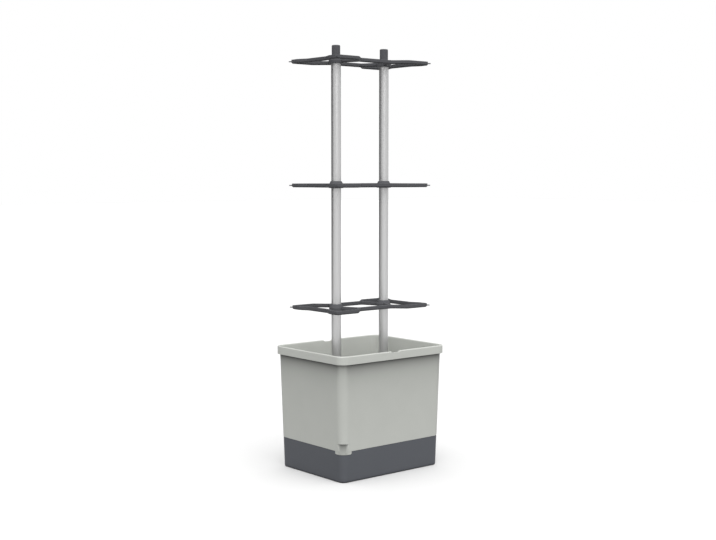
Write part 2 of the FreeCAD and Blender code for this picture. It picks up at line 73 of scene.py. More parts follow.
# Steps round a quarter corner, a circle, a bend of the ring, an edge, a fine edge and a flat chamfer
CORNER_STEPS = 14
CIRCLE_STEPS = 72
BEND_STEPS = 8
EDGE_STEPS = 4
FINE_STEPS = 2
CHAMFER_STEPS = 1

# Edges count as sharp or as a crease from these angles on
SHARP_ANGLE = math.radians(34)
CREASE_ANGLE = math.radians(45)

# Places count as one below this distance, and lengths when they agree to this many digits
SAME_PLACE = 1e-5
SAME_DIGITS = 7

# Roundings of fine edges
TRAY_EDGE = 0.0005
TRAY_CORNER = 0.0015
POT_EDGE = 0.00075
SEAM_EDGE = 0.0006
NOTCH_EDGE = 0.00125
CUP_EDGE = 0.000625
TUBE_EDGE = 0.00025

# Sockets, ribs and drain holes in the pot's floor
SOCKET_WALL = 0.004
SOCKET_HEIGHT = 0.060
RIB_HEIGHT = 0.042
RIB_REACH = 0.022
RIB_THICKNESS = 0.0025
DRAIN_RADIUS = 0.004
DRAIN_X = 0.145
DRAIN_Y = 0.100

# Wall behind the scoop, its distance from the pot's wall, and how far the scoop's cutter reaches
SCOOP_BACKING = 0.0035
SCOOP_SKIN = 0.0004
SCOOP_REACH = 0.066

# Wicking cups, with their water slots and how much lighter than the reservoir they are
CUP_Y = 0.082
CUP_RADIUS = 0.030
CUP_FIT = 0.0006
CUP_FOOT_RADIUS = 0.025
CUP_WALL = 0.0025
CUP_SLOTS = 8
CUP_LIGHTER = 1.2
SLOT_WIDTH = 0.004
SLOT_HEIGHT = 0.030

# Corners of a quarter of the ring's middle line, from the long side's middle, each with its bend
RING_QUARTER = ((0.0600, 0.0675, 0.012), (0.0960, 0.1025, 0.012), (0.1695, 0.1025, 0.006),
                (0.1695, 0.0720, 0.012), (0.1565, 0.0440, 0.012))
RING_WAIST = RING_QUARTER[0]
RING_CORNER = RING_QUARTER[2]

# Hub arms, which start at a share of the tube's radius and lie a hair below the bar's faces
ARM_START = 0.7
ARM_STEP = 0.0001

# Hub collars, measured from the middle of the bar's height, with socket, spigot and twine nubs
COLLAR_BELOW = 0.0075
COLLAR_SHOULDER = 0.002
COLLAR_ABOVE = 0.0125
COLLAR_RADIUS = 0.021
COLLAR_TOP_RADIUS = 0.01625
SOCKET_DEPTH = 0.01555
SPIGOT_LENGTH = 0.032
SPIGOT_HOLLOW_WALL = 0.0025
NUB_LENGTH = 0.008
NUB_WIDTH = 0.006
NUB_THICKNESS = 0.003

# Moulded plastic: clouds of pigment and a fine eroded grain
CLOUD_SCALE = 14
CLOUD_DETAIL = 4
CLOUD_SPREAD = 0.015
GRAIN_SCALE = 900
GRAIN_DETAIL = 2
GRAIN_SPREAD = 0.06
GRAIN_RELIEF = 0.25

# Drawn metal: streaks along the tube, and how much of the surface is bare metal
STREAK_STRETCH = (1, 1, 0.01)
STREAK_SCALE = 420
STREAK_DETAIL = 3
STREAK_TINT = 0.03
STREAK_SPREAD = 0.05
STREAK_RELIEF = 0.12
METAL_SHARE = 0.75

# Height of a grain or a streak, and the values between which most of a noise lies
RELIEF_HEIGHT = 0.0001
NOISE_LOW = 0.3
NOISE_HIGH = 0.7

# Soft shades, each with the share of light that it takes and how far it reaches
RIM_SHADES = ((0.82, 0.017), (0.26, 0.075))
CORNER_SHADES = ((0.35, 0.004),)
SCOOP_SHADES = ((0.66, 0.045),)
GROUND_SHADE = (0.75, 0.0035)

# Where the front corner's shades are: how squarely it faces out, its half width and its full middle
CORNER_FACING = 0.6
CORNER_HALF_WIDTH = 0.018
CORNER_CORE = 0.006

# Share of the rim's shade that is left off at the front corner
RIM_EASE = 0.4

# Studio floor: its half size, its glow where it is seen and the light that it throws back
FLOOR_HALF = 30
FLOOR_GLOW = 0.08
FLOOR_BOUNCE = 0.04

# Lamps: how wide they look, where they stand from +X towards +Y and how high
KEY_ANGLE = math.radians(70)
KEY_BEARING = math.radians(-108)
KEY_HEIGHT = math.radians(42)
FILL_ANGLE = math.radians(30)
FILL_BEARING = math.radians(-135)
FILL_HEIGHT = math.radians(9)
TOP_ANGLE = math.radians(60)
TOP_HEIGHT = math.radians(90)

# Dark card behind the object
CARD_BEARING = math.radians(91)
CARD_DISTANCE = 3
CARD_HALF_WIDTH = 10
CARD_HALF_HEIGHT = 2
CARD_GREY = 0.03
CARD_ROUGHNESS = 0.9

# Width of the camera's sensor, in millimetres
SENSOR_WIDTH = 36


class PotSizes(bpy.types.PropertyGroup):
    """Sizes of the reservoir and the pot that stands in it."""

    corner_radius: FloatProperty(
        name="Corner radius", description="Upright corners at the seam", default=0.022, unit="LENGTH")
    base_step: FloatProperty(
        name="Seam step", description="Reservoir's top edge, inwards from the pot", default=0.0005,
        unit="LENGTH")
    base_inset: FloatProperty(
        name="Reservoir draft", description="Reservoir wall, inwards from the seam to the ground",
        default=0.003, unit="LENGTH")
    base_round: FloatProperty(
        name="Ground edge", description="Rounding of the reservoir's bottom edge", default=0.005,
        unit="LENGTH")
    wall: FloatProperty(
        name="Wall", description="Wall and floor thickness", default=0.003, unit="LENGTH")
    flare: FloatProperty(
        name="Pot flare", description="Pot wall, outwards from the seam to the rim", default=0.0095,
        unit="LENGTH")
    foot_inset: FloatProperty(
        name="Foot inset", description="Pot's foot, inwards from the seam", default=0.0048,
        unit="LENGTH")
    rim_height: FloatProperty(
        name="Rim height", description="Height of the rim band", default=0.024, unit="LENGTH")
    rim_radius: FloatProperty(
        name="Rim radius", description="Upright corners of the rim band", default=0.027,
        unit="LENGTH")
    rim_edge: FloatProperty(
        name="Rim edge", description="Rounding of the rim's top edges", default=0.003, unit="LENGTH")
    notch_width: FloatProperty(
        name="Notch width", description="Notch in each long rim, at its top", default=0.036,
        unit="LENGTH")
    notch_foot: FloatProperty(
        name="Notch foot", description="Notch in each long rim, at its bottom", default=0.026,
        unit="LENGTH")
    notch_depth: FloatProperty(
        name="Notch depth", description="Depth of the rim notch", default=0.005, unit="LENGTH")
    scoop_height: FloatProperty(
        name="Scoop height", description="Scoop's ledge above the seam", default=0.022,
        unit="LENGTH")
    scoop_depth: FloatProperty(
        name="Scoop depth", description="Depth of the scoop under its ledge", default=0.007,
        unit="LENGTH")
    lip_drop: FloatProperty(
        name="Lip drop", description="Pouring lip below the seam", default=0.0085, unit="LENGTH")
    lip_reach: FloatProperty(
        name="Lip reach", description="Lip along each side, past the round corner", default=0.011,
        unit="LENGTH")
    lip_round: FloatProperty(
        name="Lip rounding", description="Rounding of the lip's lower ends", default=0.004,
        unit="LENGTH")
    lip_fit: FloatProperty(
        name="Lip fit", description="Gap round the lip in the reservoir", default=0.0008,
        unit="LENGTH")


class TowerSizes(bpy.types.PropertyGroup):
    """Sizes of the climbing tower."""

    tube_wall: FloatProperty(
        name="Tube wall", description="Wall thickness of the tubes", default=0.0015, unit="LENGTH")
    tube_fit: FloatProperty(
        name="Tube fit", description="Gap round a tube in its socket", default=0.0003, unit="LENGTH")
    bar_width: FloatProperty(
        name="Bar width", description="Width of the ring's bar", default=0.011, unit="LENGTH")
    bar_height: FloatProperty(
        name="Bar height", description="Height of the ring's bar", default=0.011, unit="LENGTH")
    bar_chamfer: FloatProperty(
        name="Bar chamfer", description="Chamfer of the bar's lower edges", default=0.003,
        unit="LENGTH")
    bar_edge: FloatProperty(
        name="Bar edge", description="Rounding of the bar's upper edges", default=0.0009,
        unit="LENGTH")
    arm_width: FloatProperty(
        name="Arm width", description="Width of a hub arm along the ring", default=0.0125,
        unit="LENGTH")
    collar_round: FloatProperty(
        name="Collar edge", description="Rounding of a hub collar's upper edge", default=0.0015,
        unit="LENGTH")
    spigot_round: FloatProperty(
        name="Spigot edge", description="Rounding of a spigot's top", default=0.003, unit="LENGTH")


class PotColours(bpy.types.PropertyGroup):
    """Colours of the moulded and drawn pieces and of the floor."""

    pot: FloatVectorProperty(
        name="Pot", description="Light grey moulded pot", default=(0.464, 0.475, 0.447),
        subtype="COLOR", min=0, max=1)
    reservoir: FloatVectorProperty(
        name="Reservoir", description="Dark moulded reservoir", default=(0.092, 0.097, 0.108),
        subtype="COLOR", min=0, max=1)
    tube: FloatVectorProperty(
        name="Tubes", description="Satin metal tubes", default=(0.51, 0.51, 0.51),
        subtype="COLOR", min=0, max=1)
    ring: FloatVectorProperty(
        name="Rings", description="Dark moulded climbing rings", default=(0.080, 0.081, 0.087),
        subtype="COLOR", min=0, max=1)
    floor: FloatVectorProperty(
        name="Floor", description="Pale studio floor", default=(0.60, 0.60, 0.60),
        subtype="COLOR", min=0, max=1)


class StageSettings(bpy.types.PropertyGroup):
    """Camera and light of the studio."""

    camera_place: FloatVectorProperty(
        name="Camera", description="Where the camera stands", default=(-2.2976, -2.7370, 0.8620),
        subtype="TRANSLATION", unit="LENGTH")
    camera_bearing: FloatProperty(
        name="Bearing", description="Where the camera looks, from +X towards +Y",
        default=math.radians(50.095), subtype="ANGLE")
    camera_pitch: FloatProperty(
        name="Pitch", description="How far the camera looks down", default=math.radians(4.446),
        subtype="ANGLE")
    lens: FloatProperty(
        name="Lens", description="Focal length on a 36 mm sensor", default=61.08, unit="CAMERA")
    sky_strength: FloatProperty(
        name="Sky", description="Light of the studio's dome", default=1.1)
    key_strength: FloatProperty(
        name="Key", description="Light of the soft key lamp", default=1.26)
    fill_strength: FloatProperty(
        name="Fill", description="Light of the low fill lamp", default=0.75)
    top_strength: FloatProperty(
        name="Top", description="Light of the lamp overhead", default=1.0)


# Meshes

def bevel(bm, geom, width, steps, affect="EDGES"):
    """Round edges or corners."""
    bmesh.ops.bevel(bm, geom=geom, offset=width, offset_type="OFFSET", affect=affect, segments=steps,
                    profile=0.5, material=-1, clamp_overlap=True)


def face_outwards(bm):
    """Turn every face of a closed mesh outwards."""
    bmesh.ops.recalc_face_normals(bm, faces=bm.faces)
    if bm.calc_volume(signed=True) < 0:
        bmesh.ops.reverse_faces(bm, faces=bm.faces)


def edges_of(verts):
    """Edges between vertices that were just made, in one order at every run."""
    return list(dict.fromkeys(edge for vert in verts for edge in vert.link_edges))


def lies_at(edge, axis, value):
    """True where both ends of an edge have one value along an axis."""
    return all(abs(vert.co[axis] - value) < SAME_PLACE for vert in edge.verts)


def level_edges(bm, height):
    """Edges that lie at one height."""
    return [edge for edge in bm.edges if lies_at(edge, AXIS_Z, height)]


def rounded_loop(bm, half_length, half_width, radius):
    """Level outline with four round corners. Returns its edges."""
    faces_before = set(bm.faces)
    corners = bmesh.ops.create_grid(bm, x_segments=1, y_segments=1, size=1)["verts"]
    bmesh.ops.scale(bm, vec=(half_length, half_width, 1), verts=corners)
    bevel(bm, corners, radius, CORNER_STEPS, "VERTICES")
    face = next(face for face in bm.faces if face not in faces_before)
    edges = list(face.edges)
    bmesh.ops.delete(bm, geom=[face], context="FACES_ONLY")
    return edges


def seam_loop(bm, sizes, offset):
    """Level outline at an even distance from the one at the seam."""
    half_length = BASE_HIGH.x + sizes.base_step + offset
    half_width = BASE_HIGH.y + sizes.base_step + offset
    return rounded_loop(bm, half_length, half_width, sizes.corner_radius + offset)


def circle_loop(bm, x, y, radius):
    """Level circle. Returns its edges."""
    made = bmesh.ops.create_circle(bm, cap_ends=False, segments=CIRCLE_STEPS, radius=radius,
                                   matrix=Matrix.Translation((x, y, 0)))
    return edges_of(made["verts"])


def lift(bm, loop, height):
    """Move a loop up."""
    verts = list(dict.fromkeys(vert for edge in loop for vert in edge.verts))
    bmesh.ops.translate(bm, vec=UPWARDS * height, verts=verts)


def join_loops(bm, rows, ends="CAPPED"):
    """Skin a row of loops, given with their heights, with its ends capped, joined or left open."""
    loops = [loop for loop, height in rows]
    # Bridged a metre apart, where no two loops share a plane and the skin can't twist
    for storey, loop in enumerate(loops):
        lift(bm, loop, storey)
    for loop, following in zip(loops, loops[1:]):
        bmesh.ops.bridge_loops(bm, edges=loop + following)
    if ends == "CAPPED":
        bmesh.ops.edgeloop_fill(bm, edges=loops[0])
        bmesh.ops.edgeloop_fill(bm, edges=loops[-1])
    elif ends == "JOINED":
        bmesh.ops.bridge_loops(bm, edges=loops[-1] + loops[0])
    for storey, (loop, height) in enumerate(rows):
        lift(bm, loop, height - storey)
    face_outwards(bm)
    return loops


def draw_out(bm, faces, along):
    """Draw flat faces out along a vector, to a closed solid."""
    drawn = bmesh.ops.extrude_face_region(bm, geom=faces)["geom"]
    moved = [item for item in drawn if isinstance(item, bmesh.types.BMVert)]
    bmesh.ops.translate(bm, vec=along, verts=moved)
    face_outwards(bm)


def cut_away(bm, place, outwards):
    """Cut a mesh along a plane and clear what lies beyond it. Returns the edges of the cut."""
    everything = list(bm.verts) + list(bm.edges) + list(bm.faces)
    cut = bmesh.ops.bisect_plane(bm, geom=everything, plane_co=place, plane_no=outwards,
                                 clear_outer=True)["geom_cut"]
    return [item for item in cut if isinstance(item, bmesh.types.BMEdge)]


def prism(corners, along):
    """Solid from one flat outline, drawn out along a vector, as a bmesh."""
    bm = bmesh.new()
    draw_out(bm, [bm.faces.new([bm.verts.new(corner) for corner in corners])], along)
    return bm


def block(low, high):
    """Box between two corners, as a bmesh."""
    bm = bmesh.new()
    made = bmesh.ops.create_cube(bm, size=1)["verts"]
    bmesh.ops.scale(bm, vec=Vector(high) - Vector(low), verts=made)
    bmesh.ops.translate(bm, vec=(Vector(high) + Vector(low)) / 2, verts=made)
    return bm


def turned(x, y, rings, ends="CAPPED"):
    """Round piece from rings of a radius and a height, as a bmesh with its loops."""
    bm = bmesh.new()
    loops = join_loops(bm, [(circle_loop(bm, x, y, radius), height) for radius, height in rings], ends)
    return bm, loops


def cylinder(x, y, radius, low, high):
    """Upright cylinder, as a bmesh."""
    return turned(x, y, [(radius, low), (radius, high)])[0]


def add_object(name, data):
    """Put a mesh, a lamp or a camera into the scene, at the origin."""
    piece = bpy.data.objects.new(name, data)
    bpy.context.scene.collection.objects.link(piece)
    return piece


def to_object(name, bm):
    """Make a bmesh an object of the scene, at the origin."""
    mesh = bpy.data.meshes.new(name)
    bm.to_mesh(mesh)
    bm.free()
    return add_object(name, mesh)


def combine(piece, solids, operation):
    """Join solids to a piece, or cut them out of it, and clear them away."""
    tools = [to_object("tool", bm) for bm in solids]
    for tool in tools:
        step = piece.modifiers.new(operation.title(), "BOOLEAN")
        step.operation = operation
        step.solver = "EXACT"
        step.object = tool
    depsgraph = bpy.context.evaluated_depsgraph_get()
    mesh = bpy.data.meshes.new_from_object(piece.evaluated_get(depsgraph))
    plain = piece.data
    piece.modifiers.clear()
    piece.data = mesh
    bpy.data.meshes.remove(plain)
    mesh.name = piece.name
    for tool in tools:
        bpy.data.meshes.remove(tool.data)


def dress(piece, material, body, nodes):
    """Smooth a finished piece, give it its material and seat it on its body."""
    mesh = piece.data
    mesh.polygons.foreach_set("use_smooth", [True] * len(mesh.polygons))
    mesh.set_sharp_from_angle(angle=SHARP_ANGLE)
    weighting = piece.modifiers.new("Weighted Normal", "WEIGHTED_NORMAL")
    weighting.keep_sharp = True
    mesh.materials.clear()
    mesh.materials.append(material)
    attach(piece, body)
    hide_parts(*nodes)


# Materials

def node_material(name):
    """New material with its tree of nodes."""
    material = bpy.data.materials.new(name)
    material.use_nodes = True
    return material, material.node_tree


def even_grey(level):
    """Grey as a shader's socket takes it."""
    return level, level, level, 1


def link_noise(tree, place, scale, detail):
    """Noise texture on the given coordinates. Returns its grey output."""
    noise = tree.nodes.new("ShaderNodeTexNoise")
    noise.inputs["Scale"].default_value = scale
    noise.inputs["Detail"].default_value = detail
    tree.links.new(place, noise.inputs["Vector"])
    return noise.outputs["Fac"]


def link_range(tree, value, low, high):
    """Spread a noise between two values."""
    spread = tree.nodes.new("ShaderNodeMapRange")
    spread.inputs["From Min"].default_value = NOISE_LOW
    spread.inputs["From Max"].default_value = NOISE_HIGH
    spread.inputs["To Min"].default_value = low
    spread.inputs["To Max"].default_value = high
    tree.links.new(value, spread.inputs["Value"])
    return spread.outputs["Result"]


def link_math(tree, operation, first, second=None):
    """Work out one value from an output and a number or a second output."""
    step = tree.nodes.new("ShaderNodeMath")
    step.operation = operation
    tree.links.new(first, step.inputs[0])
    if isinstance(second, bpy.types.NodeSocket):
        tree.links.new(second, step.inputs[1])
    elif second is not None:
        step.inputs[1].default_value = second
    return step.outputs["Value"]


def link_dot(tree, first, second):
    """How far an output points along a direction or a second output."""
    product = tree.nodes.new("ShaderNodeVectorMath")
    product.operation = "DOT_PRODUCT"
    tree.links.new(first, product.inputs[0])
    if isinstance(second, bpy.types.NodeSocket):
        tree.links.new(second, product.inputs[1])
    else:
        product.inputs[1].default_value = second
    return product.outputs["Value"]


def link_surface(tree, shader, noise, roughness, spread, relief):
    """Let a noise vary a shader's roughness and raise its surface a little."""
    rough = link_range(tree, noise, roughness - spread, roughness + spread)
    tree.links.new(rough, shader.inputs["Roughness"])
    bump = tree.nodes.new("ShaderNodeBump")
    bump.inputs["Strength"].default_value = relief
    bump.inputs["Distance"].default_value = RELIEF_HEIGHT
    tree.links.new(noise, bump.inputs["Height"])
    tree.links.new(bump.outputs["Normal"], shader.inputs["Normal"])


def link_tint(tree, shader, noise, colour, spread):
    """Let a noise drift a shader's colour between a darker and a lighter shade of itself."""
    tint = tree.nodes.new("ShaderNodeMix")
    tint.data_type = "RGBA"
    tint.inputs["A"].default_value = [part * (1 - spread) for part in colour] + [1]
    tint.inputs["B"].default_value = [part * (1 + spread) for part in colour] + [1]
    tree.links.new(link_range(tree, noise, 0, 1), tint.inputs["Factor"])
    tree.links.new(tint.outputs["Result"], shader.inputs["Base Color"])


def link_fade(tree, height, shade):
    """Shade that is deepest at zero height and dies away below it."""
    depth, reach = shade
    fade = link_math(tree, "EXPONENT", link_math(tree, "DIVIDE", height, reach))
    return link_math(tree, "MULTIPLY", fade, depth)


def link_darker(tree, shade):
    """Let a shade take light from the colour of the shader."""
    base = tree.nodes["Principled BSDF"].inputs["Base Color"]
    darker = tree.nodes.new("ShaderNodeMix")
    darker.data_type = "RGBA"
    darker.inputs["B"].default_value = even_grey(0)
    tree.links.new(base.links[0].from_socket, darker.inputs["A"])
    tree.links.new(shade, darker.inputs["Factor"])
    tree.links.new(darker.outputs["Result"], base)


def moulded_plastic(name, colour, roughness, gloss):
    """Injection-moulded plastic with a fine eroded grain and faint clouds of pigment."""
    material, tree = node_material(name)
    shader = tree.nodes["Principled BSDF"]
    shader.inputs["Specular IOR Level"].default_value = gloss
    place = tree.nodes.new("ShaderNodeTexCoord").outputs["Object"]
    link_tint(tree, shader, link_noise(tree, place, CLOUD_SCALE, CLOUD_DETAIL), colour, CLOUD_SPREAD)
    grain = link_noise(tree, place, GRAIN_SCALE, GRAIN_DETAIL)
    link_surface(tree, shader, grain, roughness, GRAIN_SPREAD, GRAIN_RELIEF)
    return material


def drawn_metal(name, colour, roughness):
    """Satin metal tube with a thin coat and faint streaks along its length."""
    material, tree = node_material(name)
    shader = tree.nodes["Principled BSDF"]
    shader.inputs["Metallic"].default_value = METAL_SHARE
    stretch = tree.nodes.new("ShaderNodeMapping")
    stretch.inputs["Scale"].default_value = STREAK_STRETCH
    place = tree.nodes.new("ShaderNodeTexCoord").outputs["Object"]
    tree.links.new(place, stretch.inputs["Vector"])
    streaks = link_noise(tree, stretch.outputs["Vector"], STREAK_SCALE, STREAK_DETAIL)
    link_tint(tree, shader, streaks, colour, STREAK_TINT)
    link_surface(tree, shader, streaks, roughness, STREAK_SPREAD, STREAK_RELIEF)
    return material


# Reservoir

class SEEDLINGPOT_OT_reservoir(bpy.types.Operator):
    """Build the dark reservoir tray with the notch for the pouring lip"""

    bl_idname = "seedlingpot.reservoir"
    bl_label = "Reservoir"

    def execute(self, context):
        sizes = context.scene.pot_sizes
        piece = to_object("reservoir_tray", reservoir_tray(sizes))
        combine(piece, [lip_notch(sizes)], "DIFFERENCE")
        material = moulded_plastic("moulded_anthracite", context.scene.pot_colours.reservoir,
                                   roughness=0.5, gloss=0.12)
        shade_ground_edge(material.node_tree)
        dress(piece, material, "reservoir", ["reservoir_base"])
        return {"FINISHED"}


def reservoir_tray(sizes):
    """Open tray with a drafted wall and a rounded bottom edge."""
    bm = bmesh.new()
    ground = -sizes.base_step - sizes.base_inset
    ground_edge, outer_edge, inner_edge, floor_edge = join_loops(bm, [
        (seam_loop(bm, sizes, ground), BASE_LOW.z),
        (seam_loop(bm, sizes, -sizes.base_step), SEAM),
        (seam_loop(bm, sizes, -sizes.base_step - sizes.wall), SEAM),
        (seam_loop(bm, sizes, ground - sizes.wall), BASE_LOW.z + sizes.wall),
    ])
    bevel(bm, ground_edge, sizes.base_round, EDGE_STEPS)
    bevel(bm, outer_edge + inner_edge, TRAY_EDGE, FINE_STEPS)
    bevel(bm, floor_edge, TRAY_CORNER, EDGE_STEPS)
    return bm


def shade_ground_edge(tree):
    """Darken the reservoir where it meets the ground."""
    place = tree.nodes.new("ShaderNodeTexCoord").outputs["Object"]
    link_darker(tree, link_fade(tree, link_dot(tree, place, -UPWARDS), GROUND_SHADE))


def scoop_corner(sizes):
    """Middle of the round corner that the scoop and the lip are in."""
    return Vector((-(BASE_HIGH.x + sizes.base_step - sizes.corner_radius),
                   -(BASE_HIGH.y + sizes.base_step - sizes.corner_radius), 0))


def lip_ends(sizes):
    """Where the pouring lip ends along the two sides of its corner."""
    corner = scoop_corner(sizes)
    return corner.x + sizes.lip_reach, corner.y + sizes.lip_reach


def round_lip(bm, bottom, end_x, end_y, radius):
    """Round the lower ends of the pouring lip, or of the notch that it hangs in."""
    ends = [edge for edge in level_edges(bm, bottom)
            if lies_at(edge, AXIS_X, end_x) or lies_at(edge, AXIS_Y, end_y)]
    bevel(bm, ends, radius, EDGE_STEPS)


def lip_notch(sizes):
    """Room for the pouring lip at the reservoir's corner."""
    end_x, end_y = lip_ends(sizes)
    inner = Vector((end_x + sizes.lip_fit, end_y + sizes.lip_fit, SEAM + sizes.lip_drop))
    outer = Vector((POT_LOW.x, POT_LOW.y, SEAM - sizes.lip_drop - sizes.lip_fit))
    bm = block(outer, inner)
    round_lip(bm, outer.z, inner.x, inner.y, sizes.lip_round + sizes.lip_fit)
    return bm


# Pot

class SEEDLINGPOT_OT_planter(bpy.types.Operator):
    """Build the light pot with its rim, tube sockets, holes, scoop and pouring lip"""

    bl_idname = "seedlingpot.planter"
    bl_label = "Planter"

    def execute(self, context):
        sizes = context.scene.pot_sizes
        tower = context.scene.tower_sizes
        piece = to_object("pot_shell", pot_shell(sizes))
        solids = [pouring_lip(sizes), scoop_backing(sizes)]
        for side in (-1, 1):
            solids += socket_solids(sizes, tower, side * TUBE_X)
        combine(piece, solids, "UNION")
        combine(piece, pot_openings(sizes, tower), "DIFFERENCE")
        material = moulded_plastic("moulded_light_grey", context.scene.pot_colours.pot,
                                   roughness=0.5, gloss=0.2)
        shade_hollows(material.node_tree, sizes)
        dress(piece, material, "planter", ["planter_body"])
        return {"FINISHED"}


def pot_shell(sizes):
    """Drafted wall with a stepped foot and a square rim band."""
    bm = bmesh.new()
    rim_bottom = POT_TOP - sizes.rim_height
    under_rim = sizes.flare * (rim_bottom - SEAM) / (POT_TOP - SEAM)
    rim = (POT_HIGH.x, POT_HIGH.y, sizes.rim_radius)
    foot, _step, seam, _crease, band, rim_outside, rim_inside, floor = join_loops(bm, [
        (seam_loop(bm, sizes, -sizes.foot_inset), POT_LOW.z),
        (seam_loop(bm, sizes, -sizes.foot_inset), SEAM),
        (seam_loop(bm, sizes, 0), SEAM),
        (seam_loop(bm, sizes, under_rim), rim_bottom),
        (rounded_loop(bm, *rim), rim_bottom),
        (rounded_loop(bm, *rim), POT_TOP),
        (seam_loop(bm, sizes, sizes.flare - sizes.wall), POT_TOP),
        (seam_loop(bm, sizes, -sizes.foot_inset - sizes.wall), POT_LOW.z + sizes.wall),
    ])
    bevel(bm, rim_outside + rim_inside, sizes.rim_edge, EDGE_STEPS)
    bevel(bm, band, POT_EDGE, FINE_STEPS)
    bevel(bm, seam, SEAM_EDGE, FINE_STEPS)
    bevel(bm, foot, POT_EDGE, FINE_STEPS)
    bevel(bm, floor, sizes.wall, EDGE_STEPS)
    return bm


def pouring_lip(sizes):
    """Lip that hangs from the pot's corner into the reservoir's notch."""
    end_x, end_y = lip_ends(sizes)
    thickness = sizes.foot_inset + sizes.wall / 2
    bottom = SEAM - sizes.lip_drop
    bm = bmesh.new()
    join_loops(bm, [(seam_loop(bm, sizes, offset), bottom) for offset in (0, -thickness)], "OPEN")
    cut_away(bm, (end_x, 0, 0), (1, 0, 0))
    cut_away(bm, (0, end_y, 0), (0, 1, 0))
    draw_out(bm, list(bm.faces), UPWARDS * (sizes.lip_drop + sizes.wall / 2))
    round_lip(bm, bottom, end_x, end_y, sizes.lip_round)
    return bm


def scoop_backing(sizes):
    """Wall behind the scoop, so that it stays closed to the inside."""
    corner = scoop_corner(sizes)
    radius = sizes.corner_radius - sizes.foot_inset - SCOOP_SKIN
    back = sizes.corner_radius - sizes.scoop_depth - SCOOP_BACKING
    bm = cylinder(corner.x, corner.y, radius, POT_LOW.z, SEAM + sizes.scoop_height + sizes.wall)
    bmesh.ops.edgeloop_fill(bm, edges=cut_away(bm, corner + OUTWARDS * back, -OUTWARDS))
    face_outwards(bm)
    return bm


def scoop_cut(sizes):
    """Wedge that is cut out of the corner, from the ledge down to the lip's edge."""
    start = scoop_corner(sizes) - ACROSS * SCOOP_REACH
    ledge = UPWARDS * (SEAM + sizes.scoop_height)
    bottom = UPWARDS * (SEAM - sizes.lip_drop)
    deep = sizes.corner_radius - sizes.scoop_depth
    return prism([start + OUTWARDS * deep + ledge, start + OUTWARDS * SCOOP_REACH + ledge,
                  start + OUTWARDS * SCOOP_REACH + bottom,
                  start + OUTWARDS * sizes.corner_radius + bottom], ACROSS * SCOOP_REACH * 2)


def socket_solids(sizes, tower, x):
    """Boss that takes a tube's foot, with a cross of ribs."""
    floor = POT_LOW.z
    top = floor + sizes.wall
    radius = TUBE_RADIUS + tower.tube_fit + SOCKET_WALL
    boss, loops = turned(x, 0, [(radius, floor), (radius, top + SOCKET_HEIGHT)])
    bevel(boss, loops[-1], POT_EDGE, FINE_STEPS)
    solids = [boss]
    for along, across in ((Vector((1, 0, 0)), Vector((0, 1, 0))),
                          (Vector((0, 1, 0)), Vector((1, 0, 0)))):
        middle = Vector((x, 0, 0)) - across * RIB_THICKNESS / 2
        foot = along * (radius + RIB_REACH)
        head = along * radius
        low, high, ridge = UPWARDS * floor, UPWARDS * top, UPWARDS * (top + RIB_HEIGHT)
        solids.append(prism([middle - foot + low, middle + foot + low, middle + foot + high,
                             middle + head + ridge, middle - head + ridge, middle - foot + high],
                            across * RIB_THICKNESS))
    return solids


def rim_notch(sizes):
    """Cutter with slanted ends that makes the notch in both long rims."""
    front = POT_LOW.y - sizes.wall
    foot, mouth = sizes.notch_foot / 2, sizes.notch_width / 2
    low, high = POT_TOP - sizes.notch_depth, POT_TOP + sizes.notch_depth
    bm = prism([(-foot, front, low), (foot, front, low), (mouth, front, POT_TOP), (mouth, front, high),
                (-mouth, front, high), (-mouth, front, POT_TOP)], (0, -2 * front, 0))
    ends = [edge for edge in level_edges(bm, low) if lies_at(edge, AXIS_X, edge.verts[0].co.x)]
    bevel(bm, ends, NOTCH_EDGE, EDGE_STEPS)
    return bm


def pot_openings(sizes, tower):
    """Everything that is cut out of the pot."""
    floor = POT_LOW.z + sizes.wall
    above = floor + sizes.wall / 2
    cuts = [rim_notch(sizes), scoop_cut(sizes)]
    for side in (-1, 1):
        cuts.append(cylinder(side * TUBE_X, 0, TUBE_RADIUS + tower.tube_fit, floor,
                             floor + SOCKET_HEIGHT + sizes.wall))
        cuts.append(cylinder(0, side * CUP_Y, CUP_RADIUS + CUP_FIT, 0, above))
        for along in (-1, 1):
            cuts.append(cylinder(along * DRAIN_X, side * DRAIN_Y, DRAIN_RADIUS, 0, above))
    return cuts


def link_corner(tree, place, normal, sizes):
    """One on the round corner that the scoop is in, fading to zero beside it."""
    facing = link_math(tree, "GREATER_THAN", link_dot(tree, normal, OUTWARDS), CORNER_FACING)
    sideways = link_math(tree, "SUBTRACT", link_dot(tree, place, ACROSS), scoop_corner(sizes).dot(ACROSS))
    near = tree.nodes.new("ShaderNodeMapRange")
    near.interpolation_type = "SMOOTHSTEP"
    near.inputs["From Min"].default_value = CORNER_HALF_WIDTH
    near.inputs["From Max"].default_value = CORNER_CORE
    tree.links.new(link_math(tree, "ABSOLUTE", sideways), near.inputs["Value"])
    return link_math(tree, "MULTIPLY", facing, near.outputs["Result"])


